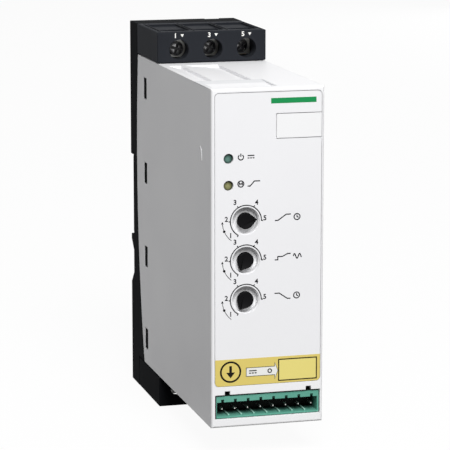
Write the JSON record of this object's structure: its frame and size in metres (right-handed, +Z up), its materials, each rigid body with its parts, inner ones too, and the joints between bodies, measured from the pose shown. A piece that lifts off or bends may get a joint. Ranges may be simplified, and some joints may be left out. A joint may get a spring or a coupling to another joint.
{
  "type": "soft starter",
  "caption": "Slim rail-mounted motor soft starter: white cover, black rear tray and power terminal blocks, adjustment knobs, light guides and a green control plug header.",
  "frame": {"origin": "centre of the rail seat, on the floor of the recess in the back", "axes": "+Z up along the tall side, +Y out of the back towards the rail, +X to the right of the front panel"},
  "size_m": [0.045, 0.131, 0.154],
  "materials": {
    "black_plastic": "fine moulded texture, dark grey-black",
    "white_plastic": "satin moulded, near white",
    "overlay_foil": "satin printed foil",
    "tag_card": "matt write-on card",
    "knob_plastic": "satin black",
    "green_plastic": "satin moulded green",
    "green_light": "clear tinted light guide, unlit",
    "yellow_light": "clear tinted light guide, unlit",
    "plated_steel": "zinc plated",
    "copper_bar": "tinned copper",
    "spring_steel": "bright wire",
    "circuit_board": "green solder resist",
    "aluminium": "plain extruded",
    "relay_case": "blue moulded case",
    "dark_resin": "moulded resin"
  },
  "bodies": {
    "housing": {"base": "black_plastic", "bypass_relay_1": "relay_case", "bypass_relay_2": "relay_case", "capacitor_1": "relay_case", "capacitor_2": "relay_case", "clip_spring": "spring_steel", "control_board": "circuit_board", "control_header": "green_plastic", "cover": "white_plastic", "front_overlay": "overlay_foil", "header_pin_1": "plated_steel", "header_pin_2": "plated_steel", "header_pin_3": "plated_steel", "header_pin_4": "plated_steel", "header_pin_5": "plated_steel", "header_pin_6": "plated_steel", "header_pin_7": "plated_steel", "header_pin_8": "plated_steel", "heatsink": "aluminium", "line_contact_1": "copper_bar", "line_contact_2": "copper_bar", "line_contact_3": "copper_bar", "line_terminal_block": "black_plastic", "link_board": "circuit_board", "load_contact_1": "copper_bar", "load_contact_2": "copper_bar", "load_contact_3": "copper_bar", "load_terminal_block": "black_plastic", "marker_tag": "tag_card", "potentiometer_1": "dark_resin", "potentiometer_2": "dark_resin", "potentiometer_3": "dark_resin", "power_board": "circuit_board", "power_light_pipe": "green_light", "run_light_pipe": "yellow_light", "thyristor_1": "dark_resin", "thyristor_2": "dark_resin"},
    "dial_1": {"dial_1": "knob_plastic"},
    "dial_2": {"dial_2": "knob_plastic"},
    "dial_3": {"dial_3": "knob_plastic"},
    "line_clamp_1": {"line_clamp_1": "plated_steel"},
    "line_clamp_2": {"line_clamp_2": "plated_steel"},
    "line_clamp_3": {"line_clamp_3": "plated_steel"},
    "line_screw_1": {"line_screw_1": "plated_steel"},
    "line_screw_2": {"line_screw_2": "plated_steel"},
    "line_screw_3": {"line_screw_3": "plated_steel"},
    "load_clamp_1": {"load_clamp_1": "plated_steel"},
    "load_clamp_2": {"load_clamp_2": "plated_steel"},
    "load_clamp_3": {"load_clamp_3": "plated_steel"},
    "load_screw_1": {"load_screw_1": "plated_steel"},
    "load_screw_2": {"load_screw_2": "plated_steel"},
    "load_screw_3": {"load_screw_3": "plated_steel"},
    "rail_clip": {"rail_clip": "black_plastic"}
  },
  "joints": [
    {"name": "dial_1_turn", "type": "hinge", "parent": "housing", "child": "dial_1", "pos_m": [-0.0085, -0.1265, 0.0102], "axis": [0, 1, 0], "range_deg": [-240, 0]},
    {"name": "dial_2_turn", "type": "hinge", "parent": "housing", "child": "dial_2", "pos_m": [-0.0085, -0.1265, -0.0048], "axis": [0, 1, 0], "range_deg": [0, 240]},
    {"name": "dial_3_turn", "type": "hinge", "parent": "housing", "child": "dial_3", "pos_m": [-0.0085, -0.1265, -0.0198], "axis": [0, 1, 0], "range_deg": [0, 240]},
    {"name": "line_clamp_1_slide", "type": "slide", "parent": "housing", "child": "line_clamp_1", "axis": [0, 1, 0], "range_m": [-0.0003, 0.0047]},
    {"name": "line_screw_1_turn", "type": "hinge", "parent": "line_clamp_1", "child": "line_screw_1", "pos_m": [-0.0136, -0.0404, 0.0654], "axis": [0, 1, 0], "range_deg": [-182, 2822]},
    {"name": "line_clamp_2_slide", "type": "slide", "parent": "housing", "child": "line_clamp_2", "axis": [0, 1, 0], "range_m": [-0.0022, 0.0028]},
    {"name": "line_screw_2_turn", "type": "hinge", "parent": "line_clamp_2", "child": "line_screw_2", "pos_m": [0.0004, -0.0385, 0.0654], "axis": [0, 1, 0], "range_deg": [-1322, 1682]},
    {"name": "line_clamp_3_slide", "type": "slide", "parent": "housing", "child": "line_clamp_3", "axis": [0, 1, 0], "range_m": [-0.0044, 0.0006]},
    {"name": "line_screw_3_turn", "type": "hinge", "parent": "line_clamp_3", "child": "line_screw_3", "pos_m": [0.0144, -0.0363, 0.0654], "axis": [0, 1, 0], "range_deg": [-2642, 362]},
    {"name": "load_clamp_1_slide", "type": "slide", "parent": "housing", "child": "load_clamp_1", "axis": [0, 1, 0], "range_m": [-0.0003, 0.0047]},
    {"name": "load_screw_1_turn", "type": "hinge", "parent": "load_clamp_1", "child": "load_screw_1", "pos_m": [-0.0136, -0.0404, -0.0742], "axis": [0, 1, 0], "range_deg": [-182, 2822]},
    {"name": "load_clamp_2_slide", "type": "slide", "parent": "housing", "child": "load_clamp_2", "axis": [0, 1, 0], "range_m": [-0.0022, 0.0028]},
    {"name": "load_screw_2_turn", "type": "hinge", "parent": "load_clamp_2", "child": "load_screw_2", "pos_m": [0.0004, -0.0385, -0.0742], "axis": [0, 1, 0], "range_deg": [-1322, 1682]},
    {"name": "load_clamp_3_slide", "type": "slide", "parent": "housing", "child": "load_clamp_3", "axis": [0, 1, 0], "range_m": [-0.0044, 0.0006]},
    {"name": "load_screw_3_turn", "type": "hinge", "parent": "load_clamp_3", "child": "load_screw_3", "pos_m": [0.0144, -0.0363, -0.0742], "axis": [0, 1, 0], "range_deg": [-2642, 362]},
    {"name": "rail_clip_slide", "type": "slide", "parent": "housing", "child": "rail_clip", "axis": [0, 0, -1], "range_m": [0, 0.0025], "stiffness_N_per_m": 300, "springref_m": -0.006, "deforming": ["clip_spring"]}
  ],
  "couplings": [
    {"joint": "line_screw_1_turn", "follows": "line_clamp_1_slide", "rad_per_m": 10472},
    {"joint": "line_screw_2_turn", "follows": "line_clamp_2_slide", "rad_per_m": 10472},
    {"joint": "line_screw_3_turn", "follows": "line_clamp_3_slide", "rad_per_m": 10472},
    {"joint": "load_screw_1_turn", "follows": "load_clamp_1_slide", "rad_per_m": 10472},
    {"joint": "load_screw_2_turn", "follows": "load_clamp_2_slide", "rad_per_m": 10472},
    {"joint": "load_screw_3_turn", "follows": "load_clamp_3_slide", "rad_per_m": 10472}
  ]
}
